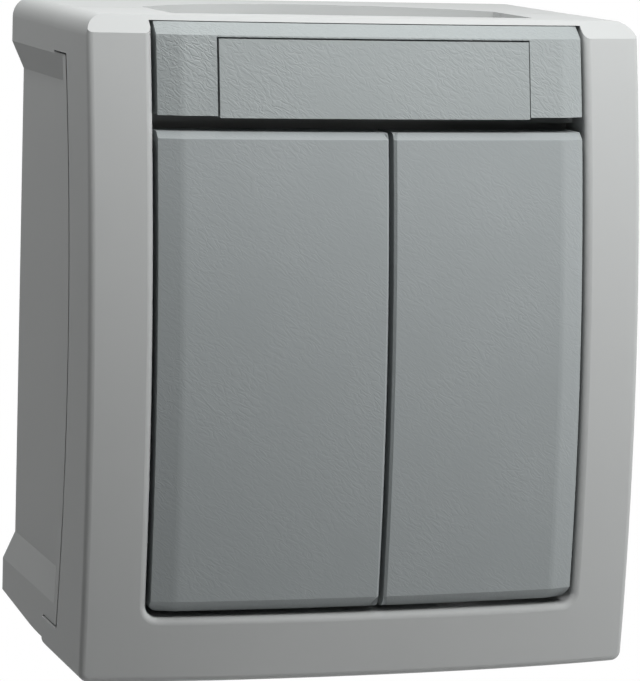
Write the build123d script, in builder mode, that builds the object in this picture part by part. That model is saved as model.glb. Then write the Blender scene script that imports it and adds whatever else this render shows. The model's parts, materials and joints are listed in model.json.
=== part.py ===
"""Two-gang rocker switch for mounting on the surface of a wall, as an assembly of its pieces.

X runs to the right, Z runs up and Y runs into the wall, whose surface is Y = 0.
A depth is measured from the wall towards the room, so a depth of d lies at Y = -d.
"""

import os
from math import cos, isclose, radians, sin

from build123d import *

# Outline of the housing
housing_width = 66.4
box_inset = 0.2
housing_top = 37.9
housing_bottom = 38.0
top_corner_radius = 2.4
bottom_corner_radius = 1.2
box_corner_radius = 0.6

# Crowned front: a large barrel about a level axis, with a smaller bow from side to side
crown_radius = 250.0
crown_apex = -9.7
edge_depth = 43.0
frame_shoulder_raise = 1.3
frame_middle_raise = 2.7
crown_sweep = 26.0
crown_core = 40.0
cover_front_reach = 60.0

# Front cover
skirt_wall = 1.7
front_wall = 2.2
cover_rear_depth = 22.5
top_bevel = 2.0
cover_edge_round = 0.8
cover_rear_rise = 0.6
cover_rear_slope = 2.5
ledge_setback = 7.8
skirt_step = 1.0
parting_top_margin = 5.0
parting_bottom_margin = 3.7
parting_setback = 9.8
parting_top_bow = 4.0
parting_bottom_bow = 3.2

# Opening of the front cover
frame_side_width = 7.2
frame_bottom_width = 7.6
top_lip_width = 0.55
opening_corner_radius = 1.5
opening_edge_round = 0.7
collar_wall = 1.4
shelf_thickness = 2.0
label_field_height = 11.45
top_lip_wall = 1.0
flange_drop = 3.0
flange_root = 1.3
flange_thickness = 0.9

# Rear box
box_gap = 1.2
box_step = 0.7
box_draft_rise = 1.6
box_floor = 2.0
rim_clearance = 0.2
rim_wall = 1.4
gasket_thickness = 1.2
rim_root_depth = 8.0
joint_gap = 0.2
side_recess = 1.5
side_recess_top_margin = 3.7
side_recess_bottom_margin = 5.9
side_recess_end = 3.3
lip_strip = 1.6
top_recess_end = 11.2
top_recess_rear_depth = 9.0
top_recess_shoulder = 2.3
top_lip_setback = 9.5

# Wall screws
wall_screw_spread = 46.0
wall_screw_rise = 56.0
wall_screw_bore = 4.5
wall_boss_diameter = 9.0
wall_boss_height = 1.5

# Cable entries
entry_bore = 16.0
top_entry_depth = 21.0
bottom_entry_setback = 10.5
entry_flange = 19.0
entry_flange_thickness = 0.8
entry_clearance = 0.05
entry_inner_flange = 18.0
entry_throat = 11.0
entry_membrane = 0.8
entry_tip = 4.0
entry_tip_rise = 0.2
entry_pocket = 20.4

# Rockers
rocker_top_clearance = 0.8
rocker_bottom_clearance = 0.7
rocker_side_clearance = 0.5
rocker_gap = 0.62
rocker_gap_middle = 1.61
rocker_side_raise = 1.2
rocker_bevel_width = 2.7
rocker_bevel_raise = 2.05
rocker_bevel_round = 3.0
face_middle_raise = 2.9
rocker_wall = 1.5
rocker_face_wall = 2.0
rocker_rear_gap = 2.2
rocker_top_bevel = 0.8
rocker_bottom_bevel = 1.35
rocker_corner_radius = 1.0
rocker_inner_bevel = 0.3
pad_half_width = 5.6
pad_half_height = 8.0
pad_clearance = 0.2
socket_clearance = 0.05

# Label field above the rockers
holder_rise = 1.0
holder_top_clearance = 0.1
holder_bevel = 1.4
holder_wall = 1.4
label_side_margin = 6.93
label_gap = 0.2
label_top_margin = 1.75
label_overhang = 0.2
label_proud = 0.2
label_pocket = 1.5
label_floor = 1.2
label_clip_width = 3.0
label_clip_height = 1.2
label_clip_setback = 1.5
label_clip_spacing = 8.0

# Switch mechanism
pivot_height = 2.5
mechanism_side_margin = 7.4
mechanism_end_margin = 10.65
mechanism_wall = 1.6
deck_drop = 5.2
deck_space = 8.4
deck_thickness = 1.6
bearing_plate_setback = 3.2
bearing_plate_thickness = 2.0
window_half_height = 8.0
window_clearance = 0.2
post_thickness = 2.4
post_half_height = 3.5
post_clearance = 0.3
post_top_wall = 1.0
trunnion_diameter = 3.0
trunnion_clearance = 0.05
trunnion_length = 2.4

# Toggles, each clipped into its rocker
toggle_half_width = 6.0
toggle_barrel = 7.0
head_half_width = 4.0
head_half_height = 6.0
head_reach = 1.8
stem_diameter = 6.4
stem_length = 7.0
plunger_bore = 3.8
plunger_diameter = 3.6
plunger_reach = 10.0
plunger_length = 6.0
bore_end_rise = 1.5
spring_diameter = 3.1
spring_wire = 0.4
spring_turns = 6

# Contact levers and terminals
lever_clearance = 0.05
lever_thickness = 1.0
lever_half_length = 8.2
lever_half_width = 3.2
lever_ear_thickness = 0.8
lever_ear_half_height = 1.2
lever_ear_length = 1.2
contact_offset = 6.5
contact_diameter = 2.8
contact_height = 0.8
contact_travel = 0.85
contact_round = 0.3
fixed_contact_height = 0.9
strip_thickness = 1.0
strip_half_width = 3.0
blade_half_width = 2.2
blade_thickness = 0.8
blade_round = 0.2
blade_slope = 0.8
output_pad_start = 4.2
output_pad_end = 9.2
output_step = 1.6
dead_stop_half_height = 1.0
dead_stop_clearance = 0.05
common_half_height = 2.6
common_tail_half_width = 3.2
terminal_reach = 4.0
terminal_end_margin = 1.4
clamp_size = 6.4
clamp_thickness = 0.8
terminal_reach_depth = 1.0
wire_entry = 3.4
wire_entry_rise = 3.2
access_bore = 6.6
deck_rib = 1.2
deck_rib_spacing = 11.0
partition_gap = 1.0

# Screws
screw_boss = 7.0
boss_web = 1.6
thread_clearance = 0.05
screw_shank = 2.9
screw_head = 5.6
screw_head_height = 1.9
screw_clearance = 0.2
screw_engagement = 9.0
screw_length = 9.0
screw_slot_width = 0.8
screw_slot_depth = 0.9
cover_screw_spread = 29.0
cover_screw_rise = 5.1
mechanism_screw_margin = 3.9
ear_thickness = 2.0

# Places worked out from the sizes above
half_width = housing_width / 2
box_half_width = half_width - box_inset
box_bottom = housing_bottom - box_step
skirt_inside = half_width - skirt_wall
rim_outside = skirt_inside - rim_clearance
rim_inside = rim_outside - rim_wall
top_inside = housing_top - skirt_wall
bottom_inside = housing_bottom - skirt_wall
rim_top = top_inside - rim_clearance
rim_bottom = bottom_inside - rim_clearance
box_inner_top = rim_top - rim_wall
box_inner_bottom = rim_bottom - rim_wall
corner_depth = cover_rear_depth - joint_gap
ledge_depth = edge_depth - ledge_setback
rim_depth = ledge_depth - gasket_thickness
shelf_front_depth = ledge_depth + shelf_thickness
parting_top = housing_top - parting_top_margin
parting_bottom = housing_bottom - parting_bottom_margin
parting_middle_depth = edge_depth - parting_setback
parting_top_depth = parting_middle_depth - parting_top_bow
parting_bottom_depth = parting_middle_depth - parting_bottom_bow
side_recess_top = parting_top - side_recess_top_margin
side_recess_bottom = parting_bottom - side_recess_bottom_margin
top_recess_half_width = half_width - top_recess_end
top_recess_shoulder_depth = corner_depth - top_recess_shoulder
top_lip_depth = edge_depth - top_lip_setback
bottom_entry_depth = cover_rear_depth - bottom_entry_setback
opening_half_width = half_width - frame_side_width
opening_bottom = housing_bottom - frame_bottom_width
opening_top = housing_top - top_lip_width
shelf_bottom = opening_top - label_field_height
rocker_top = shelf_bottom - rocker_top_clearance
rocker_bottom = opening_bottom - rocker_bottom_clearance
rocker_rear_depth = ledge_depth + rocker_rear_gap
rocker_outer = opening_half_width - rocker_side_clearance
rocker_middle = (rocker_top - rocker_bottom) / 2
left_rocker = (-rocker_outer, rocker_gap_middle - rocker_gap / 2)
right_rocker = (rocker_gap_middle + rocker_gap / 2, rocker_outer)
toggle_places = {"left": sum(left_rocker) / 2, "right": sum(right_rocker) / 2}
mechanism_middle = sum(toggle_places.values()) / 2
mechanism_half_width = rim_inside - mechanism_side_margin
mechanism_half_height = (box_inner_top + box_inner_bottom) / 2 - mechanism_end_margin
terminal_offset = mechanism_half_height - mechanism_wall - terminal_end_margin - terminal_reach
bearing_plate_depth = ledge_depth - bearing_plate_setback
plate_front_depth = bearing_plate_depth + bearing_plate_thickness
pivot_depth = plate_front_depth + pivot_height
pad_depth = pivot_depth + toggle_barrel / 2 + pad_clearance
head_depth = pad_depth + head_reach
bore_end_depth = pivot_depth + bore_end_rise
post_inside = toggle_half_width + post_clearance
plunger_tip_depth = pivot_depth - plunger_reach
lever_front_depth = plunger_tip_depth - lever_clearance
lever_rear_depth = lever_front_depth - lever_thickness
lever_axis_depth = lever_rear_depth - lever_clearance - blade_round
deck_depth = lever_axis_depth - deck_drop
deck_rear_depth = deck_depth - deck_thickness
mechanism_rear_depth = deck_rear_depth - deck_space
wire_entry_depth = deck_depth + wire_entry_rise
fixed_contact_depth = lever_rear_depth - contact_height - contact_travel
holder_bottom = shelf_bottom + holder_rise
holder_top = opening_top - holder_top_clearance
label_bottom = holder_bottom - label_overhang
label_top = holder_top - label_top_margin
label_half_width = rocker_outer - label_side_margin
ear_rear_depth = bearing_plate_depth - ear_thickness
pilot_bore = screw_shank + 2 * thread_clearance
strip_front_depth = deck_depth + strip_thickness
output_rear_depth = fixed_contact_depth - fixed_contact_height - strip_thickness
cover_screw_height = shelf_bottom + cover_screw_rise
cover_screw_places = [(side * cover_screw_spread / 2, cover_screw_height) for side in (-1, 1)]
mechanism_screw_offset = mechanism_half_height + mechanism_screw_margin
mechanism_screw_places = [
    (mechanism_middle, rocker_middle + side * mechanism_screw_offset) for side in (-1, 1)
]
common_terminal_place = (mechanism_middle, rocker_middle + terminal_offset)
output_terminal_places = {
    side: (place, rocker_middle - terminal_offset) for side, place in toggle_places.items()
}
terminal_places = [common_terminal_place, *output_terminal_places.values()]
crown_axis = Axis((0, crown_radius - edge_depth, crown_apex), (1, 0, 0))


def crown_plane() -> Plane:
    """Plane through the crown's axis, tilted up, with its own y pointing away from the axis."""
    tilt = radians(crown_sweep / 2)
    return Plane(origin=crown_axis.position, x_dir=(1, 0, 0), z_dir=(0, -sin(tilt), -cos(tilt)))


def face_raise(x: float) -> float:
    """How far the rockers and the label field stand in front of the frame's outer edge at x."""
    bevel_x = rocker_outer - rocker_bevel_width
    bow = (face_middle_raise - rocker_bevel_raise) / bevel_x**2
    return face_middle_raise - bow * x**2


def prism(left: float, right: float, low: float, high: float, rear: float, front: float) -> Part:
    """Plain block between two depths."""
    with BuildPart() as block:
        with BuildSketch(Plane.XZ.offset(rear)):
            with Locations(((left + right) / 2, (low + high) / 2)):
                Rectangle(right - left, high - low)
        extrude(amount=front - rear)
    return block.part


def side_band(low: float, high: float, rear: float, setback: float, half: float) -> Part:
    """Band across the housing, from a rear depth forwards to the curved parting line."""
    front = parting_middle_depth - setback
    low_end = parting_bottom_depth - setback
    high_end = parting_top_depth - setback
    with BuildPart() as band:
        with BuildSketch(Plane.YZ.offset(-half)):
            with BuildLine():
                ThreePointArc((-low_end, low), (-front, (low + high) / 2), (-high_end, high))
                Polyline((-high_end, high), (-rear, high), (-rear, low), (-low_end, low))
            make_face()
        extrude(amount=2 * half)
    return band.part


def frame_block(inset: float) -> Part:
    """Crowned body of the front cover, sunk behind its front face by the inset."""
    reach = half_width + 1
    with BuildPart() as block:
        with BuildSketch(crown_plane()):
            with BuildLine():
                Spline(
                    (-reach, crown_radius - inset),
                    (-opening_half_width, crown_radius + frame_shoulder_raise - inset),
                    (0, crown_radius + frame_middle_raise - inset),
                    (opening_half_width, crown_radius + frame_shoulder_raise - inset),
                    (reach, crown_radius - inset),
                )
                Polyline(
                    (reach, crown_radius - inset),
                    (reach, crown_radius - crown_core),
                    (-reach, crown_radius - crown_core),
                    (-reach, crown_radius - inset),
                )
            make_face()
        revolve(axis=crown_axis, revolution_arc=crown_sweep)
    return block.part


def face_block(left: float, right: float, inset: float) -> Part:
    """Crowned body of a rocker or of the label field, bevelled at its sides."""
    bevel_x = rocker_outer - rocker_bevel_width
    first = -bevel_x if left < -bevel_x else left + rocker_inner_bevel
    last = bevel_x if right > bevel_x else right - rocker_inner_bevel
    middle = (first + last) / 2
    base = crown_radius - inset
    outer_raise = base + rocker_side_raise
    left_raise = outer_raise if left < -bevel_x else base + face_raise(first) - rocker_inner_bevel
    right_raise = outer_raise if right > bevel_x else base + face_raise(last) - rocker_inner_bevel
    with BuildPart() as block:
        with BuildSketch(crown_plane()) as section:
            with BuildLine():
                start = (first, base + face_raise(first))
                end = (last, base + face_raise(last))
                ThreePointArc(start, (middle, base + face_raise(middle)), end)
                Polyline(
                    end,
                    (right, right_raise),
                    (right, crown_radius - crown_core),
                    (left, crown_radius - crown_core),
                    (left, left_raise),
                    start,
                )
            make_face()
            bevel_corners = section.vertices().filter_by(lambda vertex: isclose(abs(vertex.X), bevel_x))
            if bevel_corners:
                fillet(bevel_corners, radius=rocker_bevel_round)
        revolve(axis=crown_axis, revolution_arc=crown_sweep)
    return block.part


def upright_block(
    half: float, low: float, high: float, rear: float, front: float, low_radius: float, high_radius: float
) -> Part:
    """Upright block about X = 0 with its own corner radii at the bottom and the top."""
    with BuildPart() as block:
        with BuildSketch(Plane.XZ.offset(rear)) as sketch:
            with Locations((0, (low + high) / 2)):
                Rectangle(2 * half, high - low)
            corners = sketch.vertices()
            if low_radius > 0:
                fillet(corners.group_by(Axis.Y)[0], radius=low_radius)
            if high_radius > 0:
                fillet(sketch.vertices().group_by(Axis.Y)[-1], radius=high_radius)
        extrude(amount=front - rear)
    return block.part


def post(x: float, z: float, diameter: float, rear: float, front: float) -> Part:
    """Round post or bore between two depths."""
    with BuildPart() as pin:
        with BuildSketch(Plane.XZ.offset(rear)):
            with Locations((x, z)):
                Circle(diameter / 2)
        extrude(amount=front - rear)
    return pin.part


def front_edges(face: Face) -> ShapeList[Edge]:
    """Edges of a level face that lie along its crowned front."""
    return face.edges().filter_by(Axis.Y, reverse=True).sort_by(Axis.Y)[:-1]


def slotted_screw(x: float, z: float, seat: float, reach: float, head: float) -> Part:
    """Cheese-head screw with its head seated at a depth and its shank going towards the wall."""
    with BuildPart() as screw:
        with BuildSketch(Plane.XZ.offset(seat)):
            with Locations((x, z)):
                Circle(head / 2)
        extrude(amount=screw_head_height)
        with BuildSketch(Plane.XZ.offset(seat)):
            with Locations((x, z)):
                Circle(screw_shank / 2)
        extrude(amount=-reach)
        with BuildSketch(Plane.XZ.offset(seat + screw_head_height)):
            with Locations((x, z)):
                Rectangle(head, screw_slot_width)
        extrude(amount=-screw_slot_depth, mode=Mode.SUBTRACT)
    return screw.part


os.makedirs("parts", exist_ok=True)

# Front cover: crowned frame with a skirt that reaches over the box
cover_rounding = upright_block(
    half_width, -housing_bottom - 1, housing_top, cover_rear_depth, cover_front_reach, 0, top_corner_radius
)
cover_cavity = prism(
    -rim_inside, rim_inside, -box_inner_bottom, box_inner_top, ledge_depth, cover_front_reach
)
cover_inside_front = frame_block(front_wall)
collar = prism(
    -opening_half_width - collar_wall, opening_half_width + collar_wall,
    -opening_bottom - collar_wall, box_inner_top, ledge_depth, cover_front_reach
)
with BuildPart() as cavity:
    add(cover_cavity)
    add(cover_inside_front, mode=Mode.INTERSECT)
    add(collar, mode=Mode.SUBTRACT)
side_cut = side_band(-parting_bottom, parting_top, 0, 0, half_width + 1)
top_cut = prism(
    -top_recess_half_width, top_recess_half_width, 0, housing_top + 1, cover_rear_depth, top_lip_depth
)
with BuildPart() as cover_rear_wedge:
    with BuildSketch(Plane.YZ.offset(-half_width - 1)):
        with BuildLine():
            Polyline(
                (-cover_rear_depth, -housing_bottom - 1),
                (-cover_rear_depth, -housing_bottom + cover_rear_rise),
                (-cover_rear_depth - cover_rear_slope, -housing_bottom),
                (-cover_rear_depth - cover_rear_slope, -housing_bottom - 1),
                close=True,
            )
        make_face()
    extrude(amount=housing_width + 2)
with BuildPart() as front_cover:
    add(prism(
        -half_width, half_width, -housing_bottom, housing_top, cover_rear_depth, cover_front_reach
    ))
    add(frame_block(0), mode=Mode.INTERSECT)
    chamfer(front_edges(front_cover.faces().sort_by(Axis.Z)[-1]), length=top_bevel)
    bottom_face = front_cover.faces().sort_by(Axis.Z)[0]
    fillet(bottom_face.edges().filter_by(Axis.Y), radius=bottom_corner_radius)
    front_side = front_cover.edges().filter_by(lambda edge: edge.center().Y < -ledge_depth - skirt_wall)
    fillet(
        front_side.filter_by(lambda edge: edge.center().Z < housing_top - top_bevel - skirt_wall),
        radius=cover_edge_round,
    )
    add(cover_rounding, mode=Mode.INTERSECT)
    add(
        upright_block(
            skirt_inside, -bottom_inside, top_inside, 0, ledge_depth, skirt_step, skirt_step
        ),
        mode=Mode.SUBTRACT,
    )
    add(side_cut, mode=Mode.SUBTRACT)
    add(top_cut, mode=Mode.SUBTRACT)
    add(cavity.part, mode=Mode.SUBTRACT)
    # Opening for the rockers, right through
    add(
        upright_block(
            opening_half_width, -opening_bottom, shelf_bottom, 0, cover_front_reach,
            opening_corner_radius, 0
        ),
        mode=Mode.SUBTRACT,
    )
    # Drip flange of the shelf, behind the upper edge of the rockers
    add(prism(
        -opening_half_width - collar_wall / 2, opening_half_width + collar_wall / 2,
        shelf_bottom - flange_drop, shelf_bottom + flange_root, ledge_depth - flange_thickness,
        ledge_depth
    ))
    # Seat of the label field, with a thin lip above it
    add(
        prism(
            -opening_half_width, opening_half_width, 0, opening_top, shelf_front_depth,
            cover_front_reach
        ),
        mode=Mode.SUBTRACT,
    )
    rim_edges = front_cover.edges().filter_by(Axis.Y, reverse=True).filter_by(
        lambda edge: edge.center().Y < -shelf_front_depth - top_lip_wall
        and abs(edge.center().X) < opening_half_width + opening_edge_round
        and -opening_bottom - opening_edge_round < edge.center().Z < opening_top - top_bevel
    )
    fillet(rim_edges, radius=opening_edge_round)
    add(cover_rear_wedge.part, mode=Mode.SUBTRACT)
    with BuildSketch(Plane.XZ.offset(shelf_front_depth)):
        with Locations(*cover_screw_places):
            Circle(screw_shank / 2 + screw_clearance)
    extrude(amount=-shelf_thickness, mode=Mode.SUBTRACT)
front_cover.part.label = "front_cover"
export_step(front_cover.part, "parts/front_cover.step")

# Rear box: recessed side walls between full corner pillars, with a rim inside the cover's skirt
lip_band = side_band(-parting_bottom, parting_top, 0, box_gap + lip_strip, half_width + 1)
with BuildPart() as side_recesses:
    with BuildSketch(Plane.XZ):
        for side in (-1, 1):
            with BuildLine():
                Polyline(
                    (side * (box_half_width - side_recess), -side_recess_bottom),
                    (side * (box_half_width - side_recess), side_recess_top),
                    (side * box_half_width, side_recess_top + side_recess_end),
                    (side * (box_half_width + 1), side_recess_top + side_recess_end),
                    (side * (box_half_width + 1), -side_recess_bottom - side_recess_end),
                    (side * box_half_width, -side_recess_bottom - side_recess_end),
                    close=True,
                )
            make_face()
    extrude(amount=cover_front_reach)
    add(lip_band, mode=Mode.INTERSECT)
with BuildPart() as top_recess:
    with BuildSketch(Plane.XY.offset(rim_top)):
        with BuildLine():
            rear_left = (-top_recess_half_width, -top_recess_shoulder_depth)
            rear_right = (top_recess_half_width, -top_recess_shoulder_depth)
            ThreePointArc(rear_left, (0, -top_recess_rear_depth), rear_right)
            Polyline(
                rear_right,
                (top_recess_half_width, -cover_front_reach),
                (-top_recess_half_width, -cover_front_reach),
                rear_left,
            )
        make_face()
    extrude(amount=2 * skirt_wall + rim_clearance)
with BuildPart() as draft_wedge:
    with BuildSketch(Plane.YZ.offset(-half_width - 1)):
        with BuildLine():
            Polyline(
                (0, -box_bottom - 1),
                (0, -box_bottom + box_draft_rise),
                (-corner_depth, -box_bottom),
                (-corner_depth, -box_bottom - 1),
                close=True,
            )
        make_face()
    extrude(amount=housing_width + 2)
with BuildPart() as rear_box:
    add(upright_block(
        box_half_width, -box_bottom, housing_top, 0, corner_depth, box_corner_radius, top_corner_radius
    ))
    add(side_band(-parting_bottom + joint_gap, parting_top - joint_gap, 0, box_gap, box_half_width))
    add(draft_wedge.part, mode=Mode.SUBTRACT)
    add(side_recesses.part, mode=Mode.SUBTRACT)
    add(top_recess.part, mode=Mode.SUBTRACT)
    add(upright_block(
        rim_outside, -rim_bottom, rim_top, rim_root_depth, rim_depth, skirt_step, skirt_step
    ))
    add(
        upright_block(
            rim_inside, -box_inner_bottom, box_inner_top, box_floor, cover_front_reach,
            skirt_step, skirt_step
        ),
        mode=Mode.SUBTRACT,
    )
    # Bosses for the screws of the cover and of the mechanism
    for x, z in cover_screw_places:
        add(post(x, z, screw_boss, box_floor, ledge_depth))
        add(prism(
            x - boss_web / 2, x + boss_web / 2, z, box_inner_top + boss_web / 2, box_floor, rim_depth
        ))
        add(
            post(x, z, pilot_bore, ledge_depth - screw_engagement, ledge_depth), mode=Mode.SUBTRACT
        )
    for x, z in mechanism_screw_places:
        add(post(x, z, screw_boss, box_floor, ear_rear_depth))
        add(
            post(x, z, pilot_bore, ear_rear_depth - screw_engagement, ear_rear_depth),
            mode=Mode.SUBTRACT,
        )
    # Wall screw holes with raised seats
    with BuildSketch(Plane.XZ.offset(box_floor)):
        with GridLocations(wall_screw_spread, wall_screw_rise, 2, 2):
            Circle(wall_boss_diameter / 2)
    extrude(amount=wall_boss_height)
    with BuildSketch(Plane.XZ):
        with GridLocations(wall_screw_spread, wall_screw_rise, 2, 2):
            Circle(wall_screw_bore / 2)
    extrude(amount=box_floor + wall_boss_height, mode=Mode.SUBTRACT)
    # Cable entries through the top and the bottom wall
    with BuildSketch(Plane.XY.offset(box_inner_top - 1)):
        with Locations((0, -top_entry_depth)):
            Circle(entry_bore / 2)
    extrude(amount=rim_wall + 2, mode=Mode.SUBTRACT)
    with BuildSketch(Plane.XY.offset(-box_inner_bottom + 1)):
        with Locations((0, -bottom_entry_depth)):
            Circle(entry_bore / 2)
    extrude(amount=-rim_wall - 2, mode=Mode.SUBTRACT)
    with BuildSketch(Plane.XY.offset(-box_inner_bottom - rim_wall)):
        with Locations((0, -bottom_entry_depth)):
            Circle(entry_pocket / 2)
    extrude(amount=-rim_wall - 1, mode=Mode.SUBTRACT)
rear_box.part.label = "rear_box"
export_step(rear_box.part, "parts/rear_box.step")

# Gasket between the rim of the box and the ledge of the cover
with BuildPart() as cover_gasket:
    add(upright_block(rim_outside, -rim_bottom, rim_top, rim_depth, ledge_depth, skirt_step, skirt_step))
    add(
        upright_block(
            rim_inside, -box_inner_bottom, box_inner_top, rim_depth, ledge_depth,
            skirt_step, skirt_step
        ),
        mode=Mode.SUBTRACT,
    )
cover_gasket.part.label = "cover_gasket"
export_step(cover_gasket.part, "parts/cover_gasket.step")

# Cable entry seals, one in the top wall and one in the bottom wall
entries = {
    "top": (box_inner_top, -1, top_entry_depth),
    "bottom": (-box_inner_bottom, 1, bottom_entry_depth),
}
for place, (height, facing, depth) in entries.items():
    outside = rim_wall + entry_flange_thickness
    tip = rim_wall + entry_tip_rise
    with BuildPart() as entry_seal:
        seal_plane = Plane(origin=(0, -depth, height), x_dir=(1, 0, 0), z_dir=(0, facing, 0))
        with BuildSketch(seal_plane):
            with BuildLine():
                Polyline(
                    (0, tip),
                    (entry_tip / 2, tip),
                    (entry_throat / 2, 0),
                    (entry_throat / 2, -entry_flange_thickness),
                    (entry_inner_flange / 2, -entry_flange_thickness),
                    (entry_inner_flange / 2, 0),
                    (entry_bore / 2 - entry_clearance, 0),
                    (entry_bore / 2 - entry_clearance, rim_wall),
                    (entry_flange / 2, rim_wall),
                    (entry_flange / 2, outside),
                    (entry_throat / 2 + entry_membrane, outside),
                    (entry_tip / 2 + entry_membrane / 2, tip + entry_membrane),
                    (0, tip + entry_membrane),
                    close=True,
                )
            make_face()
        revolve(axis=Axis((0, -depth, 0), (0, 0, 1)))
    entry_seal.part.label = f"entry_seal_{place}"
    export_step(entry_seal.part, f"parts/entry_seal_{place}.step")

# Label field: a holder that clips into the cover, with a pocket for the label cover
label_floor_face = face_block(-rocker_outer, rocker_outer, label_pocket)
with BuildPart() as label_pocket_space:
    add(prism(
        -label_half_width - label_gap, label_half_width + label_gap, holder_bottom - 1,
        label_top + label_gap, shelf_front_depth, cover_front_reach
    ))
    add(label_floor_face, mode=Mode.SUBTRACT)
with BuildPart() as holder_cavity:
    add(prism(
        -rocker_outer + holder_wall, rocker_outer - holder_wall, holder_bottom + holder_wall,
        holder_top - holder_wall, shelf_front_depth, cover_front_reach
    ))
    add(
        face_block(-rocker_outer, rocker_outer, label_pocket + label_floor), mode=Mode.INTERSECT
    )
with BuildPart() as label_holder:
    add(prism(
        -rocker_outer, rocker_outer, holder_bottom, holder_top, shelf_front_depth, cover_front_reach
    ))
    add(face_block(-rocker_outer, rocker_outer, 0), mode=Mode.INTERSECT)
    chamfer(front_edges(label_holder.faces().sort_by(Axis.Z)[-1]), length=holder_bevel)
    add(label_pocket_space.part, mode=Mode.SUBTRACT)
    add(holder_cavity.part, mode=Mode.SUBTRACT)
    with BuildSketch(Plane.XZ.offset(shelf_front_depth)):
        with Locations(*cover_screw_places):
            Circle(screw_head / 2 + screw_clearance)
        with Locations((0, cover_screw_height)):
            with GridLocations(2 * label_clip_spacing, 0, 2, 1):
                Rectangle(label_clip_width + label_gap, label_clip_height + label_gap)
    extrude(amount=cover_front_reach - shelf_front_depth, mode=Mode.SUBTRACT)
label_holder.part.label = "label_holder"
export_step(label_holder.part, "parts/label_holder.step")

with BuildPart() as label_cover:
    add(prism(
        -label_half_width, label_half_width, label_bottom, label_top, shelf_front_depth,
        cover_front_reach
    ))
    add(label_floor_face, mode=Mode.SUBTRACT)
    with BuildSketch(Plane.XZ.offset(shelf_front_depth + label_clip_setback)):
        with Locations((0, cover_screw_height)):
            with GridLocations(2 * label_clip_spacing, 0, 2, 1):
                Rectangle(label_clip_width, label_clip_height)
    extrude(amount=label_pocket + shelf_thickness)
    add(face_block(-rocker_outer, rocker_outer, -label_proud), mode=Mode.INTERSECT)
label_cover.part.label = "label_cover"
export_step(label_cover.part, "parts/label_cover.step")

# Rockers: hollow caps with a socket for the head of the toggle
for name, (left, right) in {"left": left_rocker, "right": right_rocker}.items():
    middle = (left + right) / 2
    with BuildPart() as rocker_space:
        add(prism(
            left + rocker_wall, right - rocker_wall, -rocker_bottom + rocker_wall,
            rocker_top - rocker_wall, rocker_rear_depth, cover_front_reach
        ))
        add(face_block(left, right, rocker_face_wall), mode=Mode.INTERSECT)
        add(
            prism(
                middle - pad_half_width, middle + pad_half_width, rocker_middle - pad_half_height,
                rocker_middle + pad_half_height, pad_depth, cover_front_reach
            ),
            mode=Mode.SUBTRACT,
        )
    with BuildPart() as rocker_rounding:
        with BuildSketch(Plane.XZ.offset(rocker_rear_depth)) as rocker_outline:
            with Locations((middle, rocker_middle)):
                Rectangle(right - left, rocker_top + rocker_bottom)
            low_corners = rocker_outline.vertices().group_by(Axis.Y)[0]
            fillet(
                low_corners.sort_by(Axis.X)[0 if name == "left" else -1],
                radius=rocker_corner_radius,
            )
        extrude(amount=cover_front_reach - rocker_rear_depth)
    with BuildPart() as rocker:
        add(prism(
            left, right, -rocker_bottom, rocker_top, rocker_rear_depth, cover_front_reach
        ))
        add(face_block(left, right, 0), mode=Mode.INTERSECT)
        chamfer(front_edges(rocker.faces().sort_by(Axis.Z)[-1]), length=rocker_top_bevel)
        chamfer(front_edges(rocker.faces().sort_by(Axis.Z)[0]), length=rocker_bottom_bevel)
        add(rocker_rounding.part, mode=Mode.INTERSECT)
        add(rocker_space.part, mode=Mode.SUBTRACT)
        add(
            prism(
                middle - head_half_width - socket_clearance,
                middle + head_half_width + socket_clearance,
                rocker_middle - head_half_height - socket_clearance,
                rocker_middle + head_half_height + socket_clearance,
                rocker_rear_depth,
                head_depth,
            ),
            mode=Mode.SUBTRACT,
        )
    rocker.part.label = f"rocker_{name}"
    export_step(rocker.part, f"parts/rocker_{name}.step")

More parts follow.
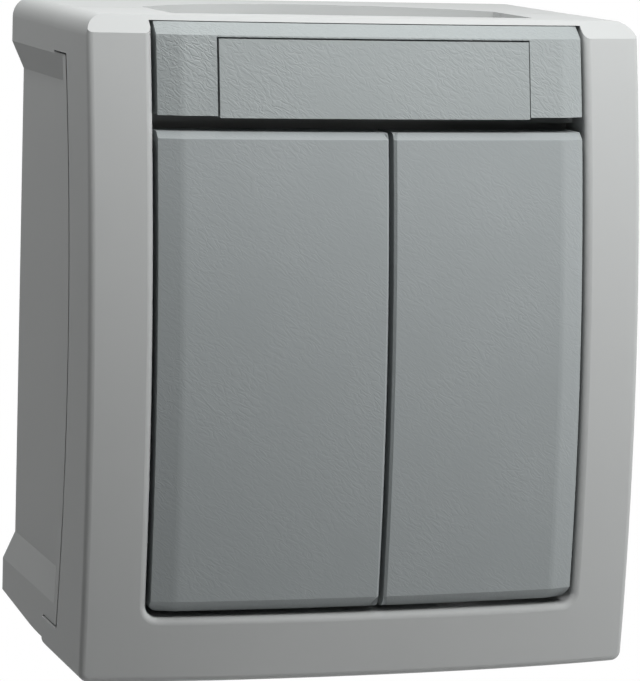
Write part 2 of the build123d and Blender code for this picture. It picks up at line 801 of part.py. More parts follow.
# Base of the switch mechanism, with a deck that carries the terminal strips
base_left = mechanism_middle - mechanism_half_width
base_right = mechanism_middle + mechanism_half_width
base_low = rocker_middle - mechanism_half_height
base_high = rocker_middle + mechanism_half_height
with BuildPart() as mechanism_base:
    add(prism(base_left, base_right, base_low, base_high, mechanism_rear_depth, bearing_plate_depth))
    upright_edges = mechanism_base.edges().filter_by(Axis.Y)
    fillet(upright_edges, radius=mechanism_wall)
    for rear, front in ((mechanism_rear_depth, deck_rear_depth), (deck_depth, bearing_plate_depth)):
        add(
            prism(
                base_left + mechanism_wall, base_right - mechanism_wall,
                base_low + mechanism_wall, base_high - mechanism_wall, rear, front
            ),
            mode=Mode.SUBTRACT,
        )
    for offset in (-deck_rib_spacing, 0, deck_rib_spacing):
        rib = mechanism_middle + offset
        add(prism(
            rib - deck_rib / 2, rib + deck_rib / 2, base_low + mechanism_wall,
            base_high - mechanism_wall, mechanism_rear_depth + deck_thickness, deck_rear_depth
        ))
    # Partition between the two gangs
    add(prism(
        mechanism_middle - mechanism_wall / 2, mechanism_middle + mechanism_wall / 2,
        base_low + mechanism_wall, rocker_middle - common_half_height - partition_gap,
        deck_depth, bearing_plate_depth
    ))
    for place in toggle_places.values():
        # Pedestal under the output strip, and the dead stop of the contact lever
        add(prism(
            place - strip_half_width, place + strip_half_width, rocker_middle - output_pad_end,
            rocker_middle - output_pad_start, deck_depth, output_rear_depth
        ))
        add(prism(
            place - blade_half_width, place + blade_half_width,
            rocker_middle + contact_offset - dead_stop_half_height,
            rocker_middle + contact_offset + dead_stop_half_height,
            deck_depth, lever_rear_depth - contact_travel - dead_stop_clearance
        ))
    # Ears for the screws that hold the mechanism in the box
    with BuildSketch(Plane.XZ.offset(ear_rear_depth)):
        for x, z in mechanism_screw_places:
            with Locations((x, z)):
                Circle(screw_boss / 2)
            with Locations((x, (z + rocker_middle) / 2)):
                Rectangle(screw_boss, abs(z - rocker_middle))
        with Locations((mechanism_middle, rocker_middle)):
            Rectangle(
                2 * mechanism_half_width - mechanism_wall, 2 * mechanism_half_height - mechanism_wall,
                mode=Mode.SUBTRACT,
            )
    extrude(amount=ear_thickness)
    with BuildSketch(Plane.XZ.offset(ear_rear_depth)):
        with Locations(*mechanism_screw_places):
            Circle(screw_shank / 2 + screw_clearance)
    extrude(amount=ear_thickness, mode=Mode.SUBTRACT)
    # Blind holes under the terminal screws and wire holes in the end walls
    with BuildSketch(Plane.XZ.offset(deck_depth)):
        with Locations(*terminal_places):
            Circle(screw_shank / 2 + screw_clearance)
    extrude(amount=-terminal_reach_depth - screw_clearance, mode=Mode.SUBTRACT)
    with BuildSketch(Plane.XY.offset(base_low)):
        with Locations(*[(x, -wire_entry_depth) for x in toggle_places.values()]):
            Circle(wire_entry / 2)
    extrude(amount=mechanism_wall, mode=Mode.SUBTRACT)
    with BuildSketch(Plane.XY.offset(base_high)):
        with Locations((mechanism_middle, -wire_entry_depth)):
            Circle(wire_entry / 2)
    extrude(amount=-mechanism_wall, mode=Mode.SUBTRACT)
mechanism_base.part.label = "mechanism_base"
export_step(mechanism_base.part, "parts/mechanism_base.step")

# Bearing plate that closes the mechanism and carries the toggles between posts
with BuildPart() as bearing_plate:
    add(prism(base_left, base_right, base_low, base_high, bearing_plate_depth, plate_front_depth))
    fillet(bearing_plate.edges().filter_by(Axis.Y), radius=mechanism_wall)
    with BuildSketch(Plane.XZ.offset(bearing_plate_depth)):
        for place in toggle_places.values():
            with Locations((place, rocker_middle)):
                Rectangle(2 * (toggle_half_width + window_clearance), 2 * window_half_height)
        with Locations(*terminal_places):
            Circle(access_bore / 2)
    extrude(amount=bearing_plate_thickness, mode=Mode.SUBTRACT)
    for place in toggle_places.values():
        for side in (-1, 1):
            with BuildSketch(Plane.YZ.offset(place + side * post_inside)):
                with BuildLine():
                    low = (-plate_front_depth, rocker_middle - post_half_height)
                    high = (-plate_front_depth, rocker_middle + post_half_height)
                    crest = pivot_depth + trunnion_diameter / 2 + post_top_wall
                    shoulder_low = (-pivot_depth, rocker_middle - post_half_height)
                    shoulder_high = (-pivot_depth, rocker_middle + post_half_height)
                    Line(low, shoulder_low)
                    ThreePointArc(shoulder_low, (-crest, rocker_middle), shoulder_high)
                    Polyline(shoulder_high, high, low)
                make_face()
                with Locations((-pivot_depth, rocker_middle)):
                    Circle(trunnion_diameter / 2 + trunnion_clearance, mode=Mode.SUBTRACT)
            extrude(amount=side * post_thickness)
bearing_plate.part.label = "bearing_plate"
export_step(bearing_plate.part, "parts/bearing_plate.step")

for name, place in toggle_places.items():
    # Toggle with its trunnions, a head for the rocker and a stem bored for the plunger
    with BuildPart() as toggle:
        with BuildSketch(Plane.YZ.offset(place - toggle_half_width)):
            with Locations((-pivot_depth, rocker_middle)):
                Circle(toggle_barrel / 2)
        extrude(amount=2 * toggle_half_width)
        with BuildSketch(Plane.YZ.offset(place - toggle_half_width - trunnion_length)):
            with Locations((-pivot_depth, rocker_middle)):
                Circle(trunnion_diameter / 2)
        extrude(amount=2 * (toggle_half_width + trunnion_length))
        add(prism(
            place - head_half_width, place + head_half_width, rocker_middle - head_half_height,
            rocker_middle + head_half_height, pivot_depth, head_depth
        ))
        add(post(place, rocker_middle, stem_diameter, pivot_depth - stem_length, pivot_depth))
        add(
            post(place, rocker_middle, plunger_bore, pivot_depth - stem_length, bore_end_depth),
            mode=Mode.SUBTRACT,
        )
    toggle.part.label = f"toggle_{name}"
    export_step(toggle.part, f"parts/toggle_{name}.step")

    # Plunger with a domed tip
    plunger_end_depth = plunger_tip_depth + plunger_length
    with BuildPart() as plunger:
        with BuildSketch(Plane.XY.offset(rocker_middle)):
            with BuildLine():
                tip = (place, -plunger_tip_depth)
                radius = plunger_diameter / 2
                dome = (
                    place + radius * cos(radians(45)),
                    -plunger_tip_depth - radius * (1 - sin(radians(45))),
                )
                shoulder = (place + radius, -plunger_tip_depth - radius)
                ThreePointArc(tip, dome, shoulder)
                Polyline(shoulder, (place + radius, -plunger_end_depth), (place, -plunger_end_depth), tip)
            make_face()
        revolve(axis=Axis((place, 0, rocker_middle), (0, 1, 0)))
    plunger.part.label = f"plunger_{name}"
    export_step(plunger.part, f"parts/plunger_{name}.step")

    # Spring behind the plunger
    spring_start = plunger_end_depth + spring_wire / 2
    spring_height = bore_end_depth - plunger_end_depth - spring_wire
    coil_radius = (spring_diameter - spring_wire) / 2
    with BuildPart() as plunger_spring:
        with BuildLine() as coil:
            Helix(
                pitch=spring_height / spring_turns,
                height=spring_height,
                radius=coil_radius,
                center=(place, -spring_start, rocker_middle),
                direction=(0, -1, 0),
            )
        with BuildSketch(Plane(origin=coil.line @ 0, z_dir=coil.line % 0)):
            Circle(spring_wire / 2)
        sweep(path=coil.line, is_frenet=True)
    plunger_spring.part.label = f"plunger_spring_{name}"
    export_step(plunger_spring.part, f"parts/plunger_spring_{name}.step")

    # Contact lever that rocks on the knife edge of the common terminal
    with BuildPart() as contact_lever:
        add(prism(
            place - lever_half_width, place + lever_half_width,
            rocker_middle - lever_half_length, rocker_middle + lever_half_length,
            lever_rear_depth, lever_front_depth
        ))
        for side in (-1, 1):
            ear_middle = place + side * (lever_half_width - lever_ear_thickness / 2)
            add(prism(
                ear_middle - lever_ear_thickness / 2, ear_middle + lever_ear_thickness / 2,
                rocker_middle - lever_ear_half_height, rocker_middle + lever_ear_half_height,
                lever_rear_depth - lever_ear_length, lever_rear_depth
            ))
    contact_lever.part.label = f"contact_lever_{name}"
    export_step(contact_lever.part, f"parts/contact_lever_{name}.step")

    # Contact rivet on the lower arm of the lever
    contact_z = rocker_middle - contact_offset
    with BuildPart() as moving_contact:
        add(post(place, contact_z, contact_diameter, lever_rear_depth - contact_height, lever_rear_depth))
        chamfer(moving_contact.faces().sort_by(Axis.Y)[-1].edges(), length=contact_round)
    moving_contact.part.label = f"moving_contact_{name}"
    export_step(moving_contact.part, f"parts/moving_contact_{name}.step")

    # Output strip, bent up to the fixed contact and down to its terminal screw
    with BuildPart() as output_terminal:
        with BuildSketch(Plane.YZ.offset(place - strip_half_width)):
            with BuildLine():
                Polyline(
                    (-output_rear_depth, rocker_middle - output_pad_start),
                    (-output_rear_depth, rocker_middle - output_pad_end),
                    (-deck_depth, rocker_middle - output_pad_end - output_step),
                    (-deck_depth, rocker_middle - terminal_offset - terminal_reach),
                    (-strip_front_depth, rocker_middle - terminal_offset - terminal_reach),
                    (-strip_front_depth, rocker_middle - output_pad_end - output_step),
                    (-output_rear_depth - strip_thickness, rocker_middle - output_pad_end),
                    (-output_rear_depth - strip_thickness, rocker_middle - output_pad_start),
                    close=True,
                )
            make_face()
        extrude(amount=2 * strip_half_width)
        add(
            post(*output_terminal_places[name], pilot_bore, deck_depth, strip_front_depth),
            mode=Mode.SUBTRACT,
        )
    output_terminal.part.label = f"output_terminal_{name}"
    export_step(output_terminal.part, f"parts/output_terminal_{name}.step")

# Common terminal: a strip under both levers with a knife edge for each
with BuildPart() as common_terminal:
    add(prism(
        toggle_places["left"] - strip_half_width, toggle_places["right"] + strip_half_width,
        rocker_middle - common_half_height, rocker_middle + common_half_height,
        deck_depth, strip_front_depth
    ))
    add(prism(
        mechanism_middle - common_tail_half_width, mechanism_middle + common_tail_half_width,
        rocker_middle, rocker_middle + terminal_offset + terminal_reach,
        deck_depth, strip_front_depth
    ))
    for place in toggle_places.values():
        with BuildSketch(Plane.YZ.offset(place - blade_half_width)):
            with BuildLine():
                low = (-lever_axis_depth, rocker_middle - blade_round)
                high = (-lever_axis_depth, rocker_middle + blade_round)
                ThreePointArc(low, (-lever_axis_depth - blade_round, rocker_middle), high)
                Polyline(
                    high,
                    (-lever_axis_depth + blade_slope, rocker_middle + blade_thickness / 2),
                    (-deck_depth, rocker_middle + blade_thickness / 2),
                    (-deck_depth, rocker_middle - blade_thickness / 2),
                    (-lever_axis_depth + blade_slope, rocker_middle - blade_thickness / 2),
                    low,
                )
            make_face()
        extrude(amount=2 * blade_half_width)
    add(post(*common_terminal_place, pilot_bore, deck_depth, strip_front_depth), mode=Mode.SUBTRACT)
common_terminal.part.label = "common_terminal"
export_step(common_terminal.part, "parts/common_terminal.step")

# Fixed contacts, a pair of rivets on the output strips
with BuildPart() as fixed_contacts:
    for place in toggle_places.values():
        add(post(
            place, rocker_middle - contact_offset, contact_diameter,
            fixed_contact_depth - fixed_contact_height, fixed_contact_depth
        ))
fixed_contacts.part.label = "fixed_contacts"
export_step(fixed_contacts.part, "parts/fixed_contacts.step")

# Saddle clamps under the terminal screws
with BuildPart() as terminal_clamps:
    with BuildSketch(Plane.XZ.offset(strip_front_depth)):
        with Locations(*terminal_places):
            RectangleRounded(clamp_size, clamp_size, clamp_thickness)
            Circle(screw_shank / 2 + screw_clearance, mode=Mode.SUBTRACT)
    extrude(amount=clamp_thickness)
terminal_clamps.part.label = "terminal_clamps"
export_step(terminal_clamps.part, "parts/terminal_clamps.step")

# Screws: of the terminals, of the mechanism and of the cover
clamp_front_depth = strip_front_depth + clamp_thickness
terminal_reach_length = clamp_front_depth - deck_depth + terminal_reach_depth
screw_groups = {
    "terminal_screws": (terminal_places, clamp_front_depth, terminal_reach_length),
    "mechanism_screws": (mechanism_screw_places, bearing_plate_depth, screw_length),
    "cover_screws": (cover_screw_places, shelf_front_depth, screw_length),
}
for name, (places, seat, reach) in screw_groups.items():
    with BuildPart() as screws:
        for x, z in places:
            add(slotted_screw(x, z, seat, reach, screw_head))
    screws.part.label = name
    export_step(screws.part, f"parts/{name}.step")
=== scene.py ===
"""Studio scene of a surface-mounted light switch with two rockers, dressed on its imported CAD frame.

Lengths are metres in the frame of the CAD: +X to the right, +Y into the wall, +Z up.
"""

from __future__ import annotations

import json
import logging
import math
from collections.abc import Iterable
from dataclasses import dataclass
from enum import Enum

import bpy
from mathutils import Matrix, Vector

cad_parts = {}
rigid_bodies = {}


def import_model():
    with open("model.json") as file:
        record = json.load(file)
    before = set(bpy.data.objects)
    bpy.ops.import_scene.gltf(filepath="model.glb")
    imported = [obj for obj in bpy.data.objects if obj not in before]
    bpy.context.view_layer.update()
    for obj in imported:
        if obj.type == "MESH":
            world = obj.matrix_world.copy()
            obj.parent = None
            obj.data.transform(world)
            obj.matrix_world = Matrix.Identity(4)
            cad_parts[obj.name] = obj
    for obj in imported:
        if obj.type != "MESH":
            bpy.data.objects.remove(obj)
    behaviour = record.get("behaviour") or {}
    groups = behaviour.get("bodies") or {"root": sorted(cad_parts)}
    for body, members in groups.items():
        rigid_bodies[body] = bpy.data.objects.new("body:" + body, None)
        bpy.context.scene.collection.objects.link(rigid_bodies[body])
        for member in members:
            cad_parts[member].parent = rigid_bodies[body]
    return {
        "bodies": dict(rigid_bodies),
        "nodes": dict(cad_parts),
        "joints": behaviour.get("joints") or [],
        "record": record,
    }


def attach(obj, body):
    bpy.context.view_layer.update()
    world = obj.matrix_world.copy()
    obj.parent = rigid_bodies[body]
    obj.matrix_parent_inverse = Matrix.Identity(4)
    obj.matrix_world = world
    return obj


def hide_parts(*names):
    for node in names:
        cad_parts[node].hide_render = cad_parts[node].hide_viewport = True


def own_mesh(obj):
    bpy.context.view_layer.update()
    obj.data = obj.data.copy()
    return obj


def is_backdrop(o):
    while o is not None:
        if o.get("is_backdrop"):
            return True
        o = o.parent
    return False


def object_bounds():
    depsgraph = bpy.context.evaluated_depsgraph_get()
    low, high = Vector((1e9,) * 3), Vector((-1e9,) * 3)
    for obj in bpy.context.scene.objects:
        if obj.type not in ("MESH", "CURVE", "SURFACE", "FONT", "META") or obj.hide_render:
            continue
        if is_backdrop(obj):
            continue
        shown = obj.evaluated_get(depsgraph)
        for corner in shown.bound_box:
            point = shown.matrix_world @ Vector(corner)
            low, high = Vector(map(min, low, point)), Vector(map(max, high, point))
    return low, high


MILLIMETRE = 0.001
NOISE_MIDDLE = 0.5
WHITE = (1.0, 1.0, 1.0, 1.0)
LOG = logging.getLogger("light_switch")

Colour = tuple[float, float, float]


class Gang(Enum):
    """The two switches side by side in the housing."""

    LEFT = "left"
    RIGHT = "right"


class Relief(Enum):
    """Surface relief that a moulded or metal piece carries, named by its shader group."""

    LEATHER = "Leather grain"
    SATIN = "Satin skin"
    ROLLED = "Rolled metal"


def deselect_all() -> None:
    """Clears the selection, because loading the frame leaves its nodes selected."""
    for item in bpy.context.selected_objects:
        item.select_set(False)


def add_node(tree: bpy.types.NodeTree, kind: str, place: tuple[float, float], **values: object) -> bpy.types.Node:
    """Adds a shader node and sets its properties.

    Args:
        tree: Node tree of a material, a group or the world.
        kind: Type name of the node.
        place: Where the node stands in the editor.
        values: Properties of the node by name.

    Returns:
        The new node.
    """
    node = tree.nodes.new(kind)
    node.location = place
    for name, value in values.items():
        setattr(node, name, value)
    return node


@dataclass(frozen=True)
class ReliefGroups:
    """Shader groups for surface relief, built once and shared by the finishes.

    A pattern's size is given as noise waves per millimetre.
    """

    grain_angle: float = math.radians(36.0)
    grain_stretch: float = 2.6
    grain_waves: float = 1.9
    grain_wander: float = 0.6
    crease_width: float = 0.14
    wear_waves: float = 1 / 9.0
    wear_range: tuple[float, float] = (0.34, 0.62)
    worn_depth: float = 0.35
    peel_waves: float = 2.2
    cloud_waves: float = 0.07
    draw_waves: float = 6.0
    draw_stretch: float = 0.06
    tarnish_waves: float = 0.6
    plain_detail: float = 2.0
    rich_detail: float = 3.0

    def start(self, relief: Relief) -> bpy.types.NodeTree:
        """Makes an empty group with the sockets that every relief has.

        Args:
            relief: Which relief the group is for.

        Returns:
            The group, with its input and output nodes in place.
        """
        group = bpy.data.node_groups.new(relief.value, "ShaderNodeTree")
        sockets = group.interface
        sockets.new_socket("Coordinates", in_out="INPUT", socket_type="NodeSocketVector")
        per_millimetre = sockets.new_socket("Density", in_out="INPUT", socket_type="NodeSocketFloat")
        per_millimetre.default_value = 1.0
        sockets.new_socket("Height", in_out="OUTPUT", socket_type="NodeSocketFloat")
        sockets.new_socket("Shade", in_out="OUTPUT", socket_type="NodeSocketFloat")
        add_node(group, "NodeGroupInput", (-900, 0)).name = "In"
        add_node(group, "NodeGroupOutput", (700, 0)).name = "Out"
        return group

    def scaled(self, group: bpy.types.NodeTree) -> bpy.types.Node:
        """Turns the object coordinates into millimetres times the density.

        Args:
            group: Group that has its input node in place.

        Returns:
            Node whose first output is the scaled position.
        """
        entry = group.nodes["In"]
        thousand = add_node(group, "ShaderNodeMath", (-720, -160), operation="MULTIPLY")
        thousand.inputs[1].default_value = 1 / MILLIMETRE
        group.links.new(entry.outputs["Density"], thousand.inputs[0])
        scale = add_node(group, "ShaderNodeVectorMath", (-560, 0), operation="SCALE")
        group.links.new(entry.outputs["Coordinates"], scale.inputs["Vector"])
        group.links.new(thousand.outputs[0], scale.inputs["Scale"])
        return scale

    def noise(
        self,
        group: bpy.types.NodeTree,
        source: bpy.types.Node,
        place: tuple[float, float],
        waves: float,
        detail: float,
    ) -> bpy.types.Node:
        """Adds a noise texture that reads a position.

        Args:
            group: Group the texture goes into.
            source: Node whose first output is the position.
            place: Where the texture stands in the editor.
            waves: Waves per unit of the position.
            detail: Octaves of the noise.

        Returns:
            The noise texture.
        """
        noise = add_node(group, "ShaderNodeTexNoise", place, noise_dimensions="3D")
        noise.inputs["Scale"].default_value = waves
        noise.inputs["Detail"].default_value = detail
        group.links.new(source.outputs[0], noise.inputs["Vector"])
        return noise

    def give(self, group: bpy.types.NodeTree, height: bpy.types.NodeSocket, shade: bpy.types.NodeSocket) -> None:
        """Links a group's two outputs.

        Args:
            group: Group that has its output node in place.
            height: Socket with the height of the relief.
            shade: Socket with the mask between the two tones.
        """
        out = group.nodes["Out"]
        group.links.new(height, out.inputs["Height"])
        group.links.new(shade, out.inputs["Shade"])

    def leather(self) -> bpy.types.NodeTree:
        """Makes slanting, partly worn wrinkles of an eroded mould, for the rockers and the label field.

        Returns:
            The leather grain group.
        """
        group = self.start(Relief.LEATHER)
        scale = self.scaled(group)
        turn = add_node(group, "ShaderNodeMapping", (-380, 120), vector_type="TEXTURE")
        turn.inputs["Rotation"].default_value = (0.0, self.grain_angle, 0.0)
        turn.inputs["Scale"].default_value = (self.grain_stretch, 1.0, 1.0)
        group.links.new(scale.outputs[0], turn.inputs["Vector"])
        wrinkle = self.noise(group, turn, (-180, 120), self.grain_waves, self.plain_detail)
        wrinkle.inputs["Distortion"].default_value = self.grain_wander
        centre = add_node(group, "ShaderNodeMath", (0, 120), operation="SUBTRACT")
        centre.inputs[1].default_value = NOISE_MIDDLE
        group.links.new(wrinkle.outputs["Fac"], centre.inputs[0])
        fold = add_node(group, "ShaderNodeMath", (140, 120), operation="ABSOLUTE")
        group.links.new(centre.outputs[0], fold.inputs[0])
        crease = add_node(group, "ShaderNodeMapRange", (280, 120), interpolation_type="SMOOTHSTEP")
        crease.inputs["From Max"].default_value = self.crease_width
        group.links.new(fold.outputs[0], crease.inputs["Value"])
        worn = self.noise(group, scale, (-180, -180), self.wear_waves, self.plain_detail)
        mask = add_node(group, "ShaderNodeMapRange", (0, -180))
        mask.inputs["From Min"].default_value, mask.inputs["From Max"].default_value = self.wear_range
        mask.inputs["To Min"].default_value = self.worn_depth
        group.links.new(worn.outputs["Fac"], mask.inputs["Value"])
        height = add_node(group, "ShaderNodeMath", (460, 60), operation="MULTIPLY")
        group.links.new(crease.outputs["Result"], height.inputs[0])
        group.links.new(mask.outputs["Result"], height.inputs[1])
        self.give(group, height.outputs[0], worn.outputs["Fac"])
        return group

    def satin(self) -> bpy.types.NodeTree:
        """Makes a faint orange-peel skin with a cloudy tone, for the smooth mouldings and the rubber.

        Returns:
            The satin skin group.
        """
        group = self.start(Relief.SATIN)
        scale = self.scaled(group)
        peel = self.noise(group, scale, (-180, 120), self.peel_waves, self.plain_detail)
        cloud = self.noise(group, scale, (-180, -180), self.cloud_waves, self.rich_detail)
        self.give(group, peel.outputs["Fac"], cloud.outputs["Fac"])
        return group

    def rolled(self) -> bpy.types.NodeTree:
        """Makes the fine drawn lines of rolled strip and turned screws.

        Returns:
            The rolled metal group.
        """
        group = self.start(Relief.ROLLED)
        scale = self.scaled(group)
        draw = add_node(group, "ShaderNodeMapping", (-380, 120), vector_type="POINT")
        draw.inputs["Scale"].default_value = (1.0, 1.0, self.draw_stretch)
        group.links.new(scale.outputs[0], draw.inputs["Vector"])
        lines = self.noise(group, draw, (-180, 120), self.draw_waves, self.rich_detail)
        tarnish = self.noise(group, scale, (-180, -180), self.tarnish_waves, self.plain_detail)
        self.give(group, lines.outputs["Fac"], tarnish.outputs["Fac"])
        return group

    def build(self) -> dict[Relief, bpy.types.NodeTree]:
        """Builds every relief group, by the relief it gives."""
        return {Relief.LEATHER: self.leather(), Relief.SATIN: self.satin(), Relief.ROLLED: self.rolled()}


@dataclass(frozen=True)
class Finish:
    """Finish of a piece: its two tones, its gloss and the relief on its surface."""

    name: str
    dark: Colour
    light: Colour
    relief: Relief
    roughness: float = 0.45
    specular: float = 0.5
    metallic: float = 0.0
    density: float = 1.0
    relief_strength: float = 0.2
    relief_depth: float = 0.02 * MILLIMETRE
    rough_spread: float = 0.05

    def material(self, groups: dict[Relief, bpy.types.NodeTree]) -> bpy.types.Material:
        """Builds the material of this finish.

        Args:
            groups: Relief groups, already built.

        Returns:
            The material, ready to put on a piece.
        """
        material = bpy.data.materials.new(self.name)
        material.use_nodes = True
        tree = material.node_tree
        tree.nodes.clear()
        out = add_node(tree, "ShaderNodeOutputMaterial", (700, 0))
        skin = add_node(tree, "ShaderNodeBsdfPrincipled", (380, 0))
        skin.inputs["Metallic"].default_value = self.metallic
        skin.inputs["Specular IOR Level"].default_value = self.specular
        place = add_node(tree, "ShaderNodeTexCoord", (-700, 0))
        relief = add_node(tree, "ShaderNodeGroup", (-480, 0), node_tree=groups[self.relief])
        relief.inputs["Density"].default_value = self.density
        tree.links.new(place.outputs["Object"], relief.inputs["Coordinates"])
        tone = add_node(tree, "ShaderNodeMix", (-160, 160), data_type="RGBA")
        tone.inputs["A"].default_value = (*self.dark, 1.0)
        tone.inputs["B"].default_value = (*self.light, 1.0)
        tree.links.new(relief.outputs["Shade"], tone.inputs["Factor"])
        tree.links.new(tone.outputs["Result"], skin.inputs["Base Color"])
        gloss = add_node(tree, "ShaderNodeMapRange", (-160, -80))
        gloss.inputs["To Min"].default_value = self.roughness - self.rough_spread
        gloss.inputs["To Max"].default_value = self.roughness + self.rough_spread
        tree.links.new(relief.outputs["Shade"], gloss.inputs["Value"])
        tree.links.new(gloss.outputs["Result"], skin.inputs["Roughness"])
        bump = add_node(tree, "ShaderNodeBump", (60, -260))
        bump.inputs["Strength"].default_value = self.relief_strength
        bump.inputs["Distance"].default_value = self.relief_depth
        tree.links.new(relief.outputs["Height"], bump.inputs["Height"])
        tree.links.new(bump.outputs["Normal"], skin.inputs["Normal"])
        tree.links.new(skin.outputs["BSDF"], out.inputs["Surface"])
        return material


HOUSING_FINISH = Finish(
    name="light grey satin housing",
    dark=(0.438, 0.449, 0.446),
    light=(0.458, 0.469, 0.466),
    relief=Relief.SATIN,
    roughness=0.6,
    specular=0.1,
    relief_strength=0.12,
    relief_depth=0.006 * MILLIMETRE,
)
ROCKER_FINISH = Finish(
    name="mid grey grained rocker",
    dark=(0.276, 0.299, 0.303),
    light=(0.300, 0.324, 0.328),
    relief=Relief.LEATHER,
    roughness=0.5,
    specular=0.25,
    relief_strength=0.5,
    relief_depth=0.024 * MILLIMETRE,
)
HOLDER_FINISH = Finish(
    name="mid grey coarse grained label holder",
    dark=(0.283, 0.308, 0.309),
    light=(0.307, 0.332, 0.333),
    relief=Relief.LEATHER,
    roughness=0.5,
    specular=0.25,
    relief_strength=0.75,
    relief_depth=0.04 * MILLIMETRE,
)
LABEL_FINISH = Finish(
    name="mid grey grained label cover",
    dark=(0.277, 0.302, 0.303),
    light=(0.301, 0.326, 0.327),
    relief=Relief.LEATHER,
    roughness=0.5,
    specular=0.25,
    relief_strength=0.6,
    relief_depth=0.032 * MILLIMETRE,
)
SEAL_FINISH = Finish(
    name="grey rubber entry seal",
    dark=(0.40, 0.42, 0.41),
    light=(0.46, 0.48, 0.47),
    relief=Relief.SATIN,
    roughness=0.7,
    specular=0.35,
    relief_strength=0.3,
)
GASKET_FINISH = Finish(
    name="black foam gasket",
    dark=(0.018, 0.018, 0.018),
    light=(0.030, 0.030, 0.030),
    relief=Relief.SATIN,
    roughness=0.85,
    specular=0.2,
    density=2.0,
    relief_strength=0.6,
)
INSULATOR_FINISH = Finish(
    name="dark grey insulating base",
    dark=(0.030, 0.031, 0.033),
    light=(0.042, 0.043, 0.046),
    relief=Relief.SATIN,
    roughness=0.6,
    relief_strength=0.25,
)
BRASS_FINISH = Finish(
    name="rolled brass strip",
    dark=(0.60, 0.42, 0.16),
    light=(0.74, 0.54, 0.24),
    relief=Relief.ROLLED,
    roughness=0.32,
    metallic=1.0,
    relief_strength=0.2,
    relief_depth=0.004 * MILLIMETRE,
)
CONTACT_FINISH = Finish(
    name="silver contact rivet",
    dark=(0.70, 0.69, 0.66),
    light=(0.82, 0.81, 0.79),
    relief=Relief.ROLLED,
    roughness=0.3,
    metallic=1.0,
    relief_strength=0.15,
    relief_depth=0.003 * MILLIMETRE,
)
ZINC_FINISH = Finish(
    name="zinc plated steel",
    dark=(0.50, 0.50, 0.49),
    light=(0.62, 0.62, 0.61),
    relief=Relief.ROLLED,
    roughness=0.36,
    metallic=1.0,
    relief_strength=0.2,
    relief_depth=0.004 * MILLIMETRE,
)


@dataclass
class Assembly:
    """Pieces of the frame that are dressed together."""

    frame: dict
    groups: dict[Relief, bpy.types.NodeTree]
    made: dict[str, bpy.types.Material]

    def finish(self, finish: Finish) -> bpy.types.Material:
        """Gives the material of a finish, built the first time it is asked for.

        Args:
            finish: The finish wanted.

        Returns:
            Its material.
        """
        if finish.name not in self.made:
            self.made[finish.name] = finish.material(self.groups)
        return self.made[finish.name]

    def dress(self, piece: bpy.types.Object, finish: Finish) -> None:
        """Puts a finish on a piece or CAD node and reports it.

        Args:
            piece: What is dressed.
            finish: The finish it takes.
        """
        if not piece.material_slots:
            piece.data.materials.append(None)
        for slot in piece.material_slots:
            slot.material = self.finish(finish)
        LOG.info("%s: %s", piece.name, finish.name)

    def coat(self, names: Iterable[str], finish: Finish) -> None:
        """Dresses CAD nodes by name.

        Args:
            names: CAD nodes to dress.
            finish: The finish they take.
        """
        for name in names:
            self.dress(self.frame["nodes"][name], finish)


@dataclass(frozen=True)
class StrayNormals:
    """Modifier that gives corners whose normal leans far off their own face that face's normal."""

    name: str = "stray normals"
    largest_lean: float = math.radians(25.0)

    def tree(self) -> bpy.types.NodeTree:
        """Builds the modifier's node group.

        Returns:
            The group, which changes nothing but the stray corner normals.
        """
        group = bpy.data.node_groups.new(self.name, "GeometryNodeTree")
        for way in ("INPUT", "OUTPUT"):
            group.interface.new_socket("Geometry", in_out=way, socket_type="NodeSocketGeometry")
        entry = add_node(group, "NodeGroupInput", (-700, 200))
        out = add_node(group, "NodeGroupOutput", (500, 100))
        normal = add_node(group, "GeometryNodeInputNormal", (-700, 0))
        cosine = add_node(group, "ShaderNodeVectorMath", (-500, -160), operation="DOT_PRODUCT")
        stray = add_node(group, "FunctionNodeCompare", (-300, -160), data_type="FLOAT", operation="LESS_THAN")
        stray.inputs["B"].default_value = math.cos(self.largest_lean)
        chosen = add_node(group, "GeometryNodeSwitch", (-100, -60), input_type="VECTOR")
        shade = add_node(group, "GeometryNodeSetMeshNormal", (200, 100), mode="FREE", domain="CORNER")
        group.links.new(normal.outputs["Normal"], cosine.inputs[0])
        group.links.new(normal.outputs["True Normal"], cosine.inputs[1])
        group.links.new(cosine.outputs["Value"], stray.inputs["A"])
        group.links.new(stray.outputs["Result"], chosen.inputs["Switch"])
        group.links.new(normal.outputs["Normal"], chosen.inputs["False"])
        group.links.new(normal.outputs["True Normal"], chosen.inputs["True"])
        group.links.new(entry.outputs["Geometry"], shade.inputs["Mesh"])
        group.links.new(chosen.outputs["Output"], shade.inputs["Custom Normal"])
        group.links.new(shade.outputs["Mesh"], out.inputs["Geometry"])
        return group

    def put_on(self, node: bpy.types.Object) -> None:
        """Adds the modifier to a node, whose own mesh stays as it is."""
        node.modifiers.new(self.name, "NODES").node_group = self.tree()


@dataclass
class Housing(Assembly):
    """Rear box, crowned cover, gasket and cable entry seals."""

    cover: str = "front_cover"
    box: str = "rear_box"
    seals: tuple[str, ...] = ("entry_seal_top", "entry_seal_bottom")
    gasket: str = "cover_gasket"

    def build(self) -> None:
        """Dresses the shells, the seals and the gasket, and evens out the cover's shading."""
        self.coat([self.cover, self.box], HOUSING_FINISH)
        self.coat(self.seals, SEAL_FINISH)
        self.coat([self.gasket], GASKET_FINISH)
        StrayNormals().put_on(self.frame["nodes"][self.cover])


@dataclass
class LabelField(Assembly):
    """Holder and clip-in cover of the label above the rockers."""

    holder: str = "label_holder"
    cover: str = "label_cover"

    def build(self) -> None:
        """Dresses the holder and its cover."""
        self.coat([self.holder], HOLDER_FINISH)
        self.coat([self.cover], LABEL_FINISH)


